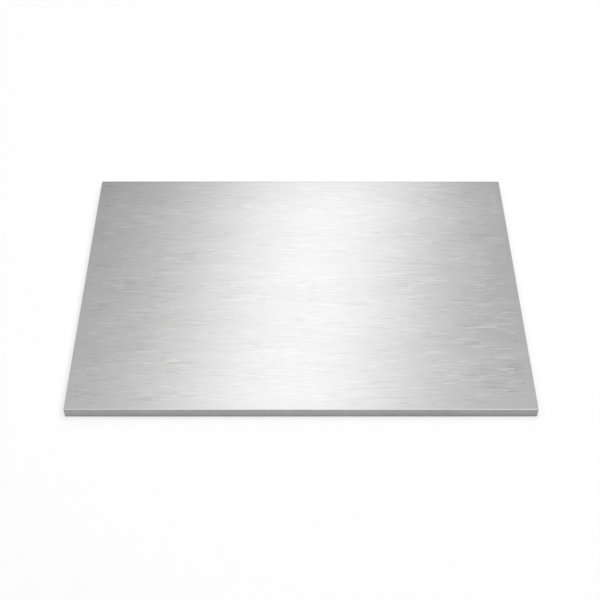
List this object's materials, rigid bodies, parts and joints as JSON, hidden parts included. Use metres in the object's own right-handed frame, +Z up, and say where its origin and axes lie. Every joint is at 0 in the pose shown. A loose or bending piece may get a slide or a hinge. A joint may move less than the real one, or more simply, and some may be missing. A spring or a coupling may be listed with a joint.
{
  "type": "steel plate",
  "caption": "Flat rectangular steel plate, brushed along its length, with rounded corners and broken edges: raw stock to cut, drill, weld or lay as a base.",
  "frame": {"origin": "centre of the bottom face", "axes": "+X along the plate's length and its grain, +Y across the grain towards the far edge, +Z up out of the top face"},
  "size_m": [0.4064, 0.3048, 0.0095],
  "materials": {
    "brushed_steel": "short-grain brushed faces, grain along the length; plainer, darker cut edges with bright broken arrises"
  },
  "bodies": {
    "root": {"steel_plate": "brushed_steel"}
  },
  "joints": []
}
